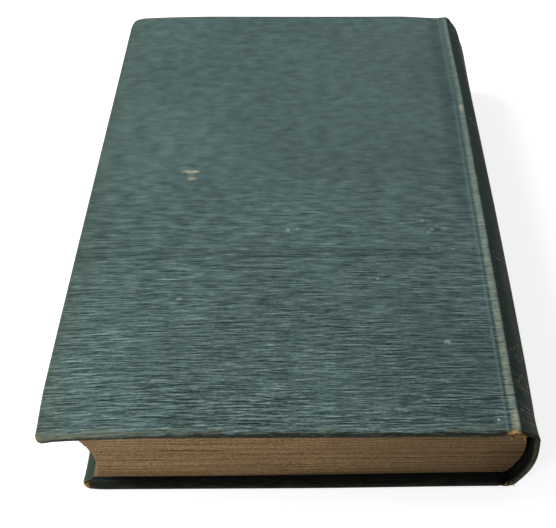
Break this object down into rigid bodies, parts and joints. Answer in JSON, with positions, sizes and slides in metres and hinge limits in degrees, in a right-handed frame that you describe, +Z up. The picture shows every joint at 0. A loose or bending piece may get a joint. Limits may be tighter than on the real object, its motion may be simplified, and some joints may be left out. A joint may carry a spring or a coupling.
{
  "type": "hardback book",
  "caption": "Closed cloth-bound hardback book lying flat, with two covers that open on cloth joints at a rounded hollow spine.",
  "frame": {"origin": "middle of the bottom of the whole book's box, on the surface that it lies on", "axes": "+X from fore edge to spine, +Y from tail to head, +Z up, through the thickness"},
  "size_m": [0.1409, 0.19, 0.038],
  "materials": {
    "board": "matt",
    "cover_cloth": "ribbed, faded",
    "spine_cloth": "ribbed, dark",
    "endpaper": "matt, aged",
    "leaves": "matt, browned edges",
    "lining": "open weave"
  },
  "bodies": {
    "block": {"text_block": "leaves", "spine_lining": "lining", "spine_inlay": "board", "spine_cloth": "spine_cloth"},
    "front_cover": {"front_board": "board", "front_cloth": "cover_cloth", "front_pastedown": "endpaper"},
    "back_cover": {"back_board": "board", "back_cloth": "cover_cloth", "back_pastedown": "endpaper"}
  },
  "joints": [
    {"name": "back_cover_hinge", "type": "hinge", "parent": "block", "child": "back_cover", "pos_m": [0.06395, 0, 0.03678], "axis": [0, 1, 0], "range_deg": [0, 179]},
    {"name": "front_cover_hinge", "type": "hinge", "parent": "block", "child": "front_cover", "pos_m": [0.06635, 0, 0.00122], "axis": [0, -1, 0], "range_deg": [0, 179]}
  ]
}
